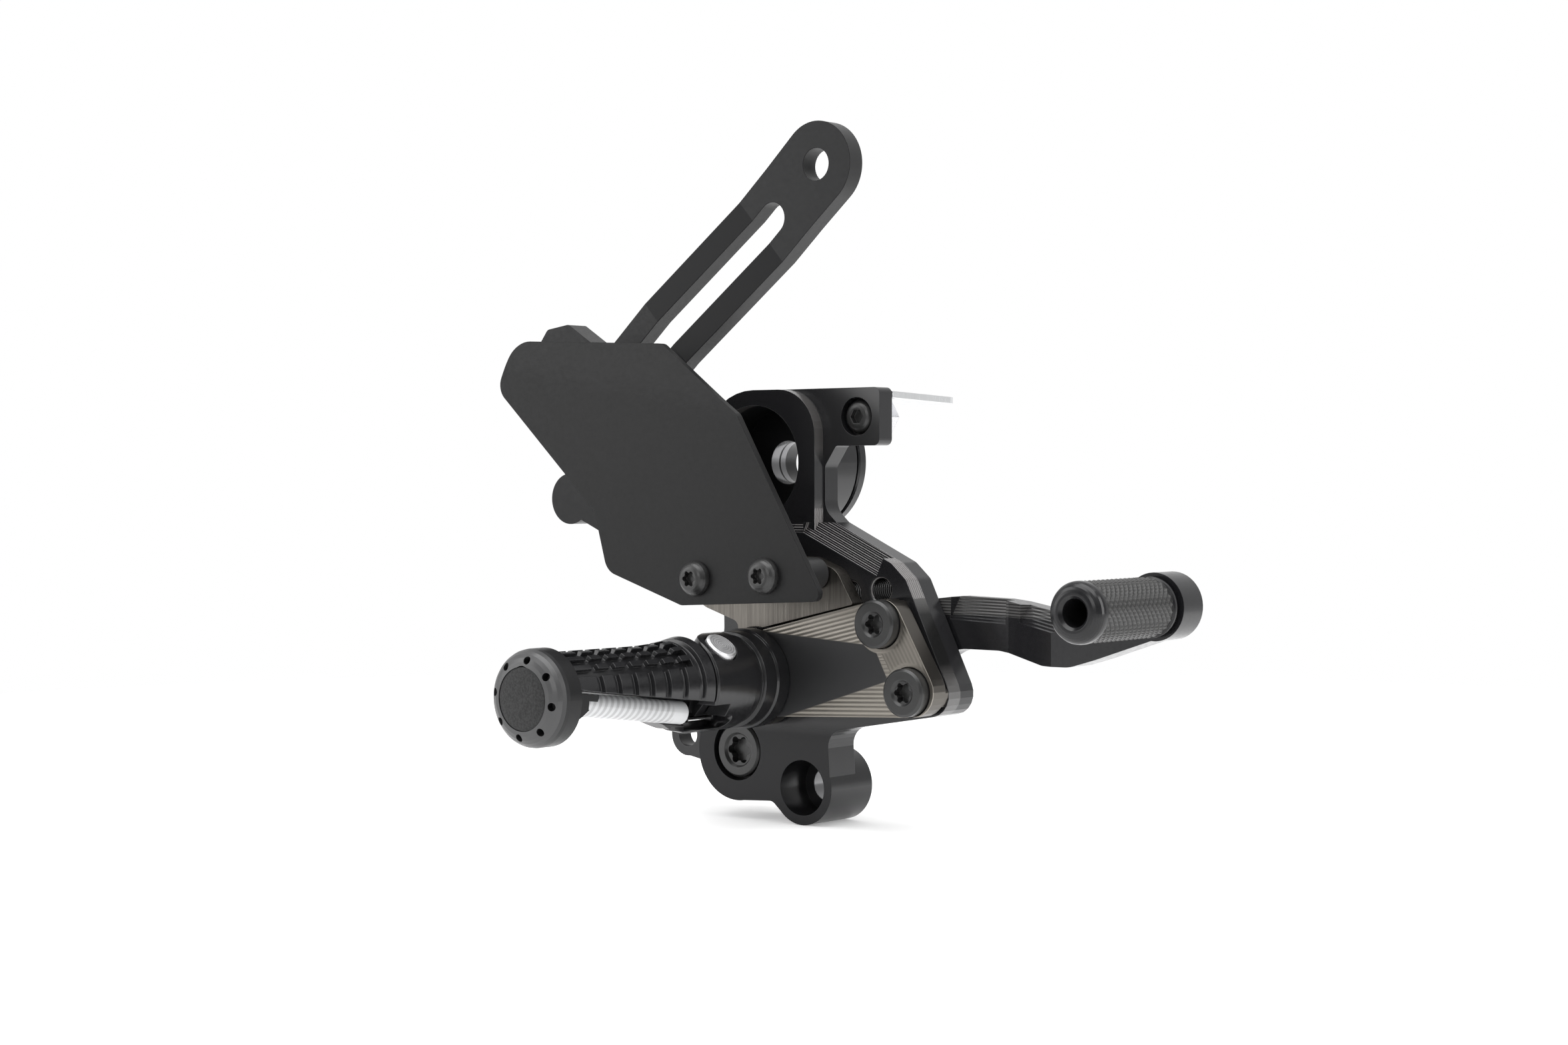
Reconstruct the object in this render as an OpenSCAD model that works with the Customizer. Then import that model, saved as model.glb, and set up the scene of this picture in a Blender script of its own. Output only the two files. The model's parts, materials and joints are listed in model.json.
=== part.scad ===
// Motorcycle rear set footrest, brake side.
// +X points forward along the bike, -Y outboard, +Z up. The origin is on the lower frame bolt's
// axis, level with the back face of the base plate. Distances called "out" are measured
// outboard from that back face.

/* [Base plate] */
// Thickness of the milled plate
plate_t = 12.5; // [11.5:0.5:15]
// Thickness of the tab and neck at the top
tab_t = 6.2; // [5:0.2:7.5]
// Height of the arch round the cup
arch_t = 10.7; // [9.5:0.1:11.2]
// Radius of the lower frame lug
lug_r = 11.2; // [10.5:0.1:11.5]
// Radius of the lower frame bolt's hole
frame_bolt_r = 5.1; // [4:0.1:6]
// Radius of the counterbore for the lower frame bolt's head
counterbore_r = 8.35; // [7.5:0.05:8.8]
// Length of the lug behind the plate
lug_back = 7.6; // [3:0.1:9]
// Radius of the upper cup
cup_r = 17.4; // [14:0.2:17.6]
// Depth of the cup, from the arch's face
cup_depth = 16.8; // [12:0.2:18]
// Thickness of the cup's floor
cup_floor = 7.3; // [5:0.1:9]
// Radius of the round boss behind the cup, and of the spacer
boss_r = 21.2; // [19:0.1:21.5]
// Radius of the bolt hole in the cup's floor
cup_bore_r = 6.7; // [5:0.1:8]
// Thickness of the round frame spacer's rim
spacer_t = 3.6; // [3:0.1:6]
// Number of milling ridges on the ramp
ramp_ridges = 13; // [6:1:16]

/* [Fasteners] */
// Radius of the M8 screws' thread
m8_r = 4; // [3.5:0.1:4.3]
// Radius of the M6 screws' thread
m6_r = 3; // [2.5:0.1:3.2]
// Radius of the low heads on the carrier
carrier_head_r = 7; // [6:0.1:7.4]
// Radius of the button heads
button_r = 5.25; // [4.8:0.05:5.6]
// Play between a screw and its hole
screw_play = 0.03; // [0.02:0.01:0.1]

/* [Peg carrier] */
// Thickness of the peg carrier, without its rear pad
carrier_t = 6; // [5:0.5:8]
// Height of the rear pad that the carrier stands on
carrier_pad = 1.5; // [1:0.1:2]
// Radius of the carrier's round end behind the collar
carrier_hub_r = 14.6; // [14:0.1:14.8]

/* [Footpeg] */
// Forward position of the peg's axis
peg_x = -13.5; // [-15:0.1:-12]
// Height of the peg's axis
peg_z = 33; // [32.5:0.1:34]
// Radius of the clevis collar
collar_r = 15; // [14.8:0.1:15.4]
// Radius of the clevis
clevis_r = 14.4; // [13.8:0.1:14.6]
// Length of the clevis with its collar
clevis_len = 32; // [31:0.5:36]
// Lean of the hinge pin from upright
pin_lean = 39; // [35:1:45]
// Radius of the hinge pin
pin_r = 4; // [3:0.1:4.5]
// Running play of the hinge pin
pin_play = 0.05; // [0.02:0.01:0.1]
// Distance from the pin's axis to the ears' round ends
ear_end_r = 7.5; // [7:0.1:8]
// Width of the clevis slot
slot_w = 12.1; // [10:0.1:14]
// Angle that the peg folds through
fold_max = 65; // [40:1:65]
// Length of the peg from its flange to the knob
peg_len = 55.7; // [50:0.1:62]
// Radius of the peg at the flange
peg_r0 = 14; // [13.6:0.1:14.4]
// Radius of the peg's waist
peg_waist_r = 12; // [11.8:0.1:13]
// Distance between ring grooves
groove_pitch = 6.87; // [6:0.01:8]
// Width of a ring groove
groove_w = 2.6; // [1:0.1:3]
// Depth of a ring groove
groove_d = 1.2; // [0.8:0.1:1.4]
// Angle between the lengthwise tooth cuts
tooth_step = 18; // [15:1:24]
// Radius of the slider knob
knob_r = 13.7; // [13.2:0.1:15]
// Length of the slider knob
knob_len = 9.9; // [9:0.1:12]
// Radius of the knob's end insert
insert_r = 8.8; // [8:0.1:8.9]

/* [Return spring] */
// Outer radius of the clear sleeve
sleeve_r = 3.4; // [3.2:0.1:3.5]
// Wall of the clear sleeve
sleeve_wall = 0.6; // [0.4:0.1:0.8]
// Radius of the spring wire
wire_r = 0.55; // [0.4:0.05:0.6]
// Number of turns
spring_turns = 14; // [8:1:16]

/* [Heel guard] */
// Thickness of the guard sheet
guard_t = 2; // [1.5:0.1:2.5]
// Distance from the bracket to the guard
guard_standoff = 22.5; // [20:0.5:26]
// Angle of the guard's soft fold
guard_fold = 15; // [8:1:20]
// Thickness of the guard's bracket
guard_bracket_t = 5; // [4:0.5:6]
// Radius of the guard's spacers
guard_spacer_r = 4.8; // [4:0.1:6.5]

/* [Hanger arm] */
// Thickness of the hanger arm
arm_t = 6; // [5:0.5:8]
// Width of the hanger arm
arm_w = 25.4; // [22:0.2:28]
// Radius of the hole in the arm's end
arm_hole_r = 4.9; // [4:0.1:6]
// Half width of the arm's slot
arm_slot_r = 4.9; // [4.05:0.05:5.4]
// Length from the end hole to the arm's foot
arm_len = 124; // [118:1:130]
// Height of the jog between the arm's two bends
arm_jog = 6.3; // [4:0.1:8]
// Thickness of the rear bracket
rear_bracket_t = 8; // [7:0.5:10]

/* [Brake lever] */
// Thickness of the lever's arm
lever_t = 8; // [6:0.5:9]
// Thickness of the lever's hub
hub_t = 12; // [10:0.5:14]
// Radius of the lever's hub
hub_r = 13.5; // [12.5:0.1:14]
// Radius of the pivot screw's shoulder
pivot_r = 6; // [5:0.1:6.5]
// Running play of the pivot
pivot_play = 0.05; // [0.02:0.01:0.1]
// Wall of the pivot bush
bush_wall = 2; // [1.5:0.1:2.5]
// Radius of the hole in the lever's rear eye
eye_hole_r = 3.8; // [3:0.1:4.2]
// Radius of the lever's toe boss
toe_boss_r = 9.4; // [8.5:0.1:10]
// Radius of the toe peg over its knurl
toe_r = 8.4; // [7.5:0.1:9]
// Depth of the knurl
knurl_d = 0.6; // [0.3:0.1:0.8]
// Length of the toe peg
toe_len = 39.4; // [30:0.1:45]

/* [Angle strip] */
// Thickness of the strip behind the tab
strip_t = 2; // [1.5:0.1:2.5]
// Length of the strip's free leaf
strip_len = 34; // [20:1:40]

/* [Hidden] */
$fn = 72;

// places on the plate as [forward, up]
cup_at = [-20.3, 97.7];
pivot_at = [-25.4, 9.7];
tab_hole_at = [15.6, 111.3];
carrier_hole_at = [[34.8, 50.9], [45.3, 31.6]];
spare_hole_at = [[18.5, 59], [29.6, 60.3]];
guard_hole_at = [[-16.5, 63.4], [9.7, 64.8]];
bracket_hole_at = [[-52, 102], [-52, 88]];
arm_hole_at = [1.6, 187];
arm_angle = 42;
eye_at = [-57.2, 11.5];
toe_at = [119.9, 58.2];

// levels, measured outboard from the plate's back face
cup_floor_out = arch_t - cup_depth;
cup_back_out = cup_floor_out - cup_floor;
spacer_groove = 1.4;
spacer_out = cup_back_out - spacer_groove;
counterbore_out = 0.1;
tab_recess = 3.4;
thread_hole_r = m8_r - 0.6;
carrier_out = plate_t + carrier_pad;
carrier_face = carrier_out + carrier_t;
guard_bracket_out = plate_t + guard_bracket_t;
guard_out = guard_bracket_out + guard_standoff;
lap_out = 4.2;
rear_out = 0.3;
rear_face = rear_out + rear_bracket_t;
arm_low_face = rear_face + arm_t;
arm_top_face = arm_low_face - arm_jog;

// footpeg
clevis_end = carrier_face + clevis_len;
pin_out = clevis_end - ear_end_r;
slot_out = pin_out - 8.5;
flange_out = pin_out + ear_end_r + 0.3;
knob_out = flange_out + peg_len;
knob_face = knob_out + knob_len;
tongue_w = slot_w - 0.5;
tongue_r = 7.9;
spot_out = clevis_r - 2.05;
pin_head_r = 4.9;
pin_head_t = 2.6;
groove_first = 5.1;
groove_count = floor((peg_len - groove_first - groove_w) / groove_pitch) + 1;
sleeve_start = [flange_out + 2.7, -8];
sleeve_end = [knob_out - 11, -2.8];
sleeve_rise = atan2(sleeve_end[1] - sleeve_start[1], sleeve_end[0] - sleeve_start[0]);
sleeve_len = norm(sleeve_end - sleeve_start);
channel_r = sleeve_r + 0.3;
screw_lift = 5.6;
slider_screw_r = 2;

// lever
lever_jog = 25.5;
washer_t = 1;
side_play = 0.1;
lever_face = -washer_t - side_play;
hub_back = lever_face - hub_t;
lever_back = lever_face - lever_t;
nut_out = hub_back - side_play - washer_t;
toe_face = 9;
toe_back = lever_face;
ring_t = 1.2;
pivot_recess_r = 9.3;
pivot_head_r = 8.3;
pivot_recess_out = plate_t - 5.6;

function unit(v) = v / norm(v);

// the arc that rounds corner b between a and c
function corner(a, b, c, r, n) =
  r <= 0 ? [b] :
  let (u = unit(a - b), v = unit(c - b), half = acos(u * v) / 2, t = r / tan(half),
       m = b + unit(u + v) * r / sin(half), p = b + u * t - m, q = b + v * t - m,
       from = atan2(p[1], p[0]), turn = (atan2(q[1], q[0]) - from + 540) % 360 - 180)
  [for (i = [0 : n]) m + r * [cos(from + turn * i / n), sin(from + turn * i / n)]];

// an outline given as [x, z, corner radius]
function rounded(p, n = 6) =
  [for (i = [0 : len(p) - 1])
    let (a = p[(i + len(p) - 1) % len(p)], b = p[i], c = p[(i + 1) % len(p)])
    each corner([a[0], a[1]], [b[0], b[1]], [c[0], c[1]], b[2], n)];

// a flat piece between two outboard levels, drawn as (forward, up)
module slab(from, to) {
  translate([0, -from, 0]) rotate([90, 0, 0]) linear_extrude(to - from) children();
}

// a round bar across the plate
module bar(at, r, from, to) {
  translate([at[0], -from, at[1]]) rotate([90, 0, 0]) cylinder(r = r, h = to - from);
}

// a profile of (n, out), run along the line that n is square to; n leans by angle from upright
module prism(angle, from, to) {
  rotate([0, angle, 0]) rotate([180, -90, 0]) translate([0, 0, from]) linear_extrude(to - from) children();
}

// a turned piece about an axis at (forward, up), drawn as (radius, out)
module turned(at) {
  translate([at[0], 0, at[1]]) rotate([90, 0, 0]) rotate_extrude() children();
}

module in_peg_frame() {
  translate([peg_x, 0, peg_z]) rotate([0, pin_lean, 0]) children();
}

// what a ridged bevel removes, from (n_in, high) down to (n_out, low)
module ridged_cut(angle, n_in, high, n_out, low, from, to, ridges, depth = 0.2, under = 2) {
  run = [n_out - n_in, low - high];
  side = [run[1], -run[0]] / norm(run);
  prism(angle, from, to)
    polygon(concat(
      [[n_in - run[0] * 0.2, high - run[1] * 0.2]],
      [for (i = [0 : 2 * ridges]) [n_in, high] + run * i / (2 * ridges) + side * (i % 2) * depth],
      [[n_out, low - under], [n_out + 30, low - under], [n_out + 30, high + 3], [n_in - run[0] * 0.2, high + 3]]));
}

// star shaped socket for a driver
module star_socket(r, depth) {
  linear_extrude(depth) {
    circle(r = r * 0.74);
    for (i = [0 : 5]) rotate(i * 60) translate([r * 0.72, 0]) circle(r = r * 0.26, $fn = 24);
  }
}

module button_head(at, seat, r, t, socket) {
  translate([at[0], -seat, at[1]]) rotate([90, 0, 0]) difference() {
    rotate_extrude()
      polygon(concat([[0, 0], [r, 0]],
        [for (a = [10 : 16 : 90]) [r * 0.52 + r * 0.48 * cos(a), t * sin(a)]], [[0, t]]));
    translate([0, 0, t - 1.9]) star_socket(socket, 4);
  }
}

plate_outline = [[-25.4, -5.6, 0], [-11.5, -4.8, 3], [-7.9, -7.9, 0], [0, 0, 0], [10.6, 2.5, 0],
  [9.6, 17.5, 5.5], [57, 25.6, 6.5], [38.4, 63.6, 4], [33.2, 68.2, 3.5], [8.2, 79.7, 0]];
plate_left = [[-31, 79.6, 0], [-30.5, 46, 10], [-40.4, 14, 0]];
neck_outline = [[3.8, 83.6, 6], [3.8, 96.6, 2.5], [8, 102.7, 1.5], [24.2, 102.7, 2],
  [24.2, 120, 2], [-14, 119.8, 0], [-30, 100, 0]];
arch_outline = [[3.3, 64, 0], [3.3, 119.7, 14], [-41.7, 119.7, 21], [-41.7, 84, 6], [-31, 64, 0]];
flange_outline = [[-36, 110, 0], [-60, 110, 4], [-60, 80, 4], [-36, 80, 0]];
ramp_lean = 24;

module base_plate_solid() {
  slab(0, tab_t) polygon(rounded(concat(plate_outline, neck_outline, plate_left)));
  slab(0, arch_t) polygon(rounded(arch_outline, 10));
  slab(0, lap_out) polygon(rounded(flange_outline));
  difference() {
    slab(tab_t - 1, plate_t) polygon(rounded(concat(plate_outline, plate_left)));
    ridged_cut(ramp_lean, 70.2, plate_t, 76.75, tab_t, -31, -0.6, ramp_ridges, 0.26);
    ridged_cut(0, 76.6, plate_t, 79.6, arch_t, -50, 0.4, 4);
    ridged_cut(36, 72.6, plate_t, 75.2, tab_t + 1.6, -60, 60, 6, 0.22);
  }
  bar([0, 0], lug_r, -lug_back, plate_t);
  bar(pivot_at, 15.4, 0, plate_t);
  bar(cup_at, boss_r, cup_back_out, 1);
}

module base_plate() {
  color([0.06, 0.06, 0.065]) difference() {
    base_plate_solid();
    bar([0, 0], frame_bolt_r, -lug_back - 1, plate_t);
    bar([0, 0], counterbore_r, counterbore_out, plate_t + 1);
    bar(cup_at, cup_r, cup_floor_out, arch_t + 5);
    bar(cup_at, cup_bore_r, cup_back_out - 1, arch_t);
    bar(pivot_at, pivot_r + pivot_play, -1, plate_t);
    bar(pivot_at, pivot_recess_r, pivot_recess_out, plate_t + 1);
    bar(tab_hole_at, m6_r + screw_play, -1, tab_t);
    bar(tab_hole_at, button_r + 0.5, tab_t - tab_recess, tab_t + 1);
    for (at = carrier_hole_at) bar(at, m8_r + screw_play, -1, plate_t + 1);
    for (at = spare_hole_at) {
      bar(at, thread_hole_r, -1, plate_t + 1);
      turned(at) polygon([[0, plate_t - 0.7], [thread_hole_r, plate_t - 0.7], [thread_hole_r + 0.8, plate_t + 0.1], [0, plate_t + 0.1]]);
    }
    for (at = guard_hole_at) bar(at, m6_r + screw_play, 1.5, plate_t + 1);
    for (at = bracket_hole_at) bar(at, m6_r + screw_play, -1, lap_out + 1);
  }
}

// the round spacer that stands between the cup and the motorcycle's frame
module upper_spacer() {
  color([0.07, 0.07, 0.075]) difference() {
    union() {
      bar(cup_at, cup_r - 1.5, spacer_out - 0.5, cup_back_out);
      turned(cup_at)
        polygon([[0, spacer_out - spacer_t], [boss_r - 0.5, spacer_out - spacer_t],
          [boss_r, spacer_out - spacer_t + 0.5], [boss_r, spacer_out - 0.5],
          [boss_r - 0.5, spacer_out], [0, spacer_out]]);
    }
    bar(cup_at, cup_bore_r, spacer_out - spacer_t - 1, cup_back_out + 1);
  }
}

module angle_strip() {
  leaf_x = 6;
  leaf_w = 18.2;
  top_z = 118.9;
  color([0.86, 0.87, 0.88]) difference() {
    union() {
      slab(-strip_t, 0) polygon(rounded([[leaf_x, 103.2, 2], [leaf_x + leaf_w - 1.8, 103.2, 2],
        [leaf_x + leaf_w - 1.8, top_z, 0], [leaf_x, top_z, 0]]));
      translate([leaf_x, 0, top_z]) rotate([-2.3, 0, 0]) translate([0, 0, -strip_t])
        linear_extrude(strip_t)
          polygon(rounded([[0, 0.3, 0], [leaf_w, 0.3, 0], [leaf_w, strip_len, 4], [0, strip_len, 4]]));
    }
    bar(tab_hole_at, m6_r + 0.2, -strip_t - 1, 1);
  }
}

module tab_screw() {
  seat = tab_t - tab_recess;
  color([0.09, 0.09, 0.09]) {
    translate([tab_hole_at[0], -seat, tab_hole_at[1]]) rotate([90, 0, 0]) difference() {
      rotate_extrude()
        polygon(concat([[0, 0], [button_r, 0]],
          [for (a = [10 : 16 : 90]) [button_r * 0.52 + button_r * 0.48 * cos(a), 3.3 * sin(a)]], [[0, 3.3]]));
      translate([0, 0, 1.4]) cylinder(r = 2.3, h = 4, $fn = 6);
    }
    bar(tab_hole_at, m6_r, -strip_t - 7, seat);
  }
}

module hex_nut(at, across, bore, from, to) {
  difference() {
    translate([at[0], -from, at[1]]) rotate([90, 0, 0]) cylinder(r = across / sqrt(3), h = to - from, $fn = 6);
    bar(at, bore, from - 1, to + 1);
  }
}

module tab_nut() {
  color([0.7, 0.7, 0.72]) hex_nut(tab_hole_at, 10, m6_r + screw_play, -strip_t - 5.5, -strip_t);
}

rear_outline = [[-114.6, 134.5, 2], [-109.6, 141, 2], [-100.2, 142.4, 2], [-90.8, 136.6, 3], [-66, 119, 6],
  [-46, 113, 3], [-46, 80, 3], [-54, 72, 6], [-77, 71.6, 5], [-95.5, 79.6, 3], [-99.5, 82, 0],
  [-99, 94, 3], [-97, 104, 8], [-103, 118, 12]];

// plate that carries the hanger arm, half lapped onto the base plate's flange
module rear_bracket() {
  lobe_at = [-99.5, 86];
  color([0.07, 0.07, 0.07]) difference() {
    union() {
      slab(lap_out, rear_face) difference() {
        union() {
          polygon(rounded(rear_outline));
          translate(lobe_at) circle(r = 8.2);
        }
        translate(cup_at) circle(r = cup_r + 4.9);
        translate([-42.2, 70]) square([10, 60]);
      }
      slab(rear_out, lap_out) difference() {
        union() {
          polygon(rounded(rear_outline));
          translate(lobe_at) circle(r = 8.2);
        }
        translate([-61, 60]) square([40, 80]);
      }
    }
    for (at = bracket_hole_at) bar(at, m6_r + 0.2, 0, rear_face + 1);
    bar(hanger_bolt_at, m8_r + 0.2, rear_out - 1, rear_face + 1);
  }
}

module rear_bracket_screws() {
  color([0.09, 0.09, 0.09]) for (at = bracket_hole_at) {
    button_head(at, rear_face, button_r, 3.3, 2.4);
    bar(at, m6_r, 0, rear_face);
  }
}

arm_dir = [-cos(arm_angle), -sin(arm_angle)];
hanger_reach = arm_len - 12;
hanger_bolt_at = arm_hole_at + arm_dir * hanger_reach;
arm_bend_1 = 28.6;
arm_bend_2 = 73.4;
slot_from = 22.8;

// flat bar with an end hole, a long slot and a shallow jog
module hanger_arm() {
  foot = arm_len + 20;
  color([0.07, 0.07, 0.075]) intersection() {
    translate([arm_hole_at[0], 0, arm_hole_at[1]]) prism(180 + 90 - arm_angle, -20, 20)
      polygon([[-20, arm_top_face], [arm_bend_1, arm_top_face], [arm_bend_2, arm_low_face], [foot, arm_low_face],
        [foot, arm_low_face - arm_t], [arm_bend_2, arm_low_face - arm_t],
        [arm_bend_1, arm_top_face - arm_t], [-20, arm_top_face - arm_t]]);
    slab(arm_top_face - arm_t - 1, arm_low_face + 1)
      translate(arm_hole_at) rotate(180 + arm_angle) difference() {
        union() {
          circle(r = 13);
          polygon(rounded([[0, -13, 0], [14, -arm_w / 2, 8], [arm_len, -arm_w / 2, 9],
            [arm_len, arm_w / 2, 9], [14, arm_w / 2, 8], [0, 13, 0]]));
        }
        circle(r = arm_hole_r);
        for (s = [slot_from, hanger_reach + 2]) translate([s, 0]) circle(r = arm_slot_r);
        translate([slot_from, -arm_slot_r]) square([hanger_reach + 2 - slot_from, 2 * arm_slot_r]);
      }
  }
}

hanger_washer_t = 1.6;

module hanger_bolt() {
  seat = arm_low_face + hanger_washer_t;
  color([0.09, 0.09, 0.09]) {
    button_head(hanger_bolt_at, seat, 7, 4.4, 3.2);
    bar(hanger_bolt_at, m8_r, rear_out - 8, seat);
  }
}

module hanger_washer() {
  color([0.7, 0.7, 0.72]) difference() {
    bar(hanger_bolt_at, 8, arm_low_face, arm_low_face + hanger_washer_t);
    bar(hanger_bolt_at, m8_r + 0.2, arm_low_face - 1, arm_low_face + hanger_washer_t + 1);
  }
}

module hanger_nut() {
  color([0.7, 0.7, 0.72]) hex_nut(hanger_bolt_at, 13, m8_r + screw_play, rear_out - 6.5, rear_out);
}

module guard_bracket() {
  color([0.5, 0.47, 0.43]) difference() {
    slab(plate_t, guard_bracket_out) difference() {
      polygon(rounded([[-20.8, 44, 0], [-20.8, 49.4, 2.5], [-38, 54.8, 4], [-30, 70, 6], [7, 69.5, 4],
        [16.8, 66, 7], [23, 56, 0.5], [-12, 47.8, 0]]));
      translate([peg_x, peg_z]) circle(r = carrier_hub_r + 0.6);
    }
    for (at = guard_hole_at) bar(at, m6_r + 0.2, plate_t - 1, guard_bracket_out + 1);
  }
}

module guard_spacers() {
  color([0.08, 0.08, 0.08]) for (at = guard_hole_at) difference() {
    turned(at)
      polygon([[0, guard_bracket_out], [guard_spacer_r - 0.6, guard_bracket_out],
        [guard_spacer_r, guard_bracket_out + 0.6], [guard_spacer_r, guard_out - 0.6],
        [guard_spacer_r - 0.6, guard_out], [0, guard_out]]);
    bar(at, m6_r + 0.2, guard_bracket_out - 1, guard_out + 1);
  }
}

guard_outline = [[-91.8, 135.6, 8], [-98.8, 120.6, 5.5], [-57.4, 83, 6], [-52.2, 64.8, 6], [-22.3, 55.3, 4],
  [31.2, 58.1, 2.4], [-0.8, 111.6, 4], [-33.5, 133.3, 4]];
guard_fold_r = 24;
guard_fold_n = 108.2;
guard_fold_lean = 9.65;

// sheet whose top leans inboard past a soft fold
module heel_guard() {
  face = guard_out + guard_t;
  hub = face - guard_t - guard_fold_r;
  arc = [for (i = [0 : 5]) 90 - guard_fold * i / 5];
  top = 45 * [cos(guard_fold), -sin(guard_fold)];
  function ring(r) = [for (a = arc) [guard_fold_n + r * cos(a), hub + r * sin(a)]];
  front = ring(guard_fold_r + guard_t);
  back = ring(guard_fold_r);
  color([0.13, 0.13, 0.13]) difference() {
    intersection() {
      prism(guard_fold_lean, -140, 60)
        polygon(concat([[20, face]], front, [front[5] + top, back[5] + top],
          [for (i = [0 : 5]) back[5 - i]], [[20, face - guard_t]]));
      slab(guard_out - 20, face + 1) polygon(rounded(guard_outline, 8));
    }
    for (at = guard_hole_at) bar(at, m6_r + 0.2, guard_out - 1, face + 1);
  }
}

module guard_screws() {
  seat = guard_out + guard_t;
  color([0.09, 0.09, 0.09]) for (at = guard_hole_at) {
    button_head(at, seat, button_r, 3.3, 2.5);
    bar(at, m6_r, 2, seat);
  }
}

carrier_outline = [[-12, 21.4, 0], [59, 25, 7.4], [39, 59.2, 7.5], [-9, 47.6, 0]];

module carrier_plan(inset) {
  offset_pts = [for (p = carrier_outline) p];
  difference() {
    union() {
      polygon(rounded(offset_pts, 8));
      translate([peg_x, peg_z]) circle(r = carrier_hub_r);
    }
    if (inset > 0) carrier_rim(inset);
  }
}

// the strips along the carrier's three straight edges that the rear pad leaves out
module carrier_rim(w) {
  translate([-40, 15]) rotate(atan2(3.6, 71)) square([110, 7.6 + w - 1.2]);
  translate([59, 25]) rotate(atan2(34.2, -20)) translate([-20, -20]) square([80, 20 + w]);
  translate([39, 59.2]) rotate(180 + atan2(11.6, 48)) translate([-20, -20]) square([80, 20 + w]);
}

head_bore_out = carrier_face - 2;

module peg_carrier() {
  color([0.42, 0.4, 0.37]) difference() {
    union() {
      slab(carrier_out, carrier_face) carrier_plan(0);
      slab(plate_t, carrier_out) carrier_plan(1.2);
    }
    for (at = carrier_hole_at) {
      bar(at, m8_r + 0.2, plate_t - 1, carrier_face + 1);
      bar(at, carrier_head_r + 0.3, head_bore_out, carrier_face + 1);
    }
    bar([peg_x, peg_z], clevis_bolt_r + 0.2, plate_t - 1, carrier_face + 1);
    bar([peg_x, peg_z], clevis_head_r + 0.3, plate_t - 1, clevis_head_out);
  }
}

module carrier_screws() {
  head_t = 5.7;
  color([0.12, 0.12, 0.12]) for (at = carrier_hole_at) {
    translate([at[0], -head_bore_out, at[1]]) rotate([90, 0, 0]) difference() {
      rotate_extrude()
        polygon([[0, 0], [carrier_head_r, 0], [carrier_head_r, head_t - 0.7],
          [carrier_head_r - 0.7, head_t], [3.9, head_t], [3.2, head_t - 0.7], [0, head_t - 0.7]]);
      translate([0, 0, head_t - 3.4]) star_socket(3.2, 5);
    }
    bar(at, m8_r, 0.5, head_bore_out);
  }
}

clevis_bolt_r = 5;
clevis_head_r = 8;
clevis_head_out = plate_t + 4.1;
clevis_bolt_end = carrier_face + 13;

module clevis_bolt() {
  color([0.6, 0.6, 0.62]) difference() {
    union() {
      bar([peg_x, peg_z], clevis_head_r, plate_t + 0.2, clevis_head_out);
      bar([peg_x, peg_z], clevis_bolt_r, clevis_head_out, clevis_bolt_end);
    }
    translate([peg_x, -plate_t, peg_z]) rotate([90, 0, 0]) star_socket(3.6, 2.8);
  }
}

module peg_clevis() {
  color([0.06, 0.06, 0.065]) difference() {
    turned([peg_x, peg_z])
      polygon([[0, carrier_face], [collar_r - 0.3, carrier_face], [collar_r, carrier_face + 0.3],
        [collar_r, carrier_face + 5], [collar_r - 0.5, carrier_face + 5.5],
        [clevis_r, carrier_face + 10.4], [clevis_r - 1, carrier_face + 10.8],
        [clevis_r - 1, carrier_face + 13.6], [clevis_r, carrier_face + 14.6],
        [clevis_r, clevis_end - 0.5], [clevis_r - 0.5, clevis_end], [0, clevis_end]]);
    bar([peg_x, peg_z], clevis_bolt_r + screw_play, carrier_face - 1, clevis_bolt_end + 1);
    // slot for the peg's tongue, closed on the side away from the fold
    in_peg_frame() translate([-20, -clevis_end - 1, -slot_w / 2])
      cube([20 + tongue_r + 0.2, clevis_end + 1 - slot_out, slot_w]);
    in_peg_frame() translate([0, -pin_out, 0]) {
      cylinder(r = pin_r + pin_play, h = 40, center = true);
      translate([0, 0, spot_out]) cylinder(r = pin_head_r + 0.5, h = 5);
      translate([0, 0, -spot_out - 5]) cylinder(r = pin_head_r + 0.5, h = 5);
      fold_relief();
    }
    // side recess and hole for the spring's wire hook
    translate([peg_x + 0.4, -carrier_face - 23, peg_z - 11.1]) rotate([0, 90, 0]) cylinder(r = 1.9, h = 20);
    translate([peg_x + 0.4, -clevis_end - 4, peg_z - 13]) cube([20, clevis_len - 19, 3.8]);
    translate([peg_x + 2, -clevis_end - 4, peg_z - 13]) cube([20, 10.5, 7.5]);
    bar([peg_x + 2, hook_z], hook_r + screw_play, hook_out, clevis_end + 1);
  }
}

// room for the peg's flange as it folds, round the ears' ends and down their rear flank
module fold_relief() {
  translate([0, 0, -20]) linear_extrude(40) difference() {
    translate([-20, -ear_end_r - 20]) square([20, 33.3 + ear_end_r]);
    circle(r = ear_end_r);
    rotate(-fold_max) translate([-40, -ear_end_r]) square([40, 60]);
  }
}

hook_r = 0.8;
hook_out = carrier_face + 18;
hook_z = peg_z - 10.4;

// the spring's wire end, hooked into the clevis
module spring_hook() {
  color([0.8, 0.8, 0.8]) bar([peg_x + 2, hook_z], hook_r, hook_out, clevis_end + 0.1);
}

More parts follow.
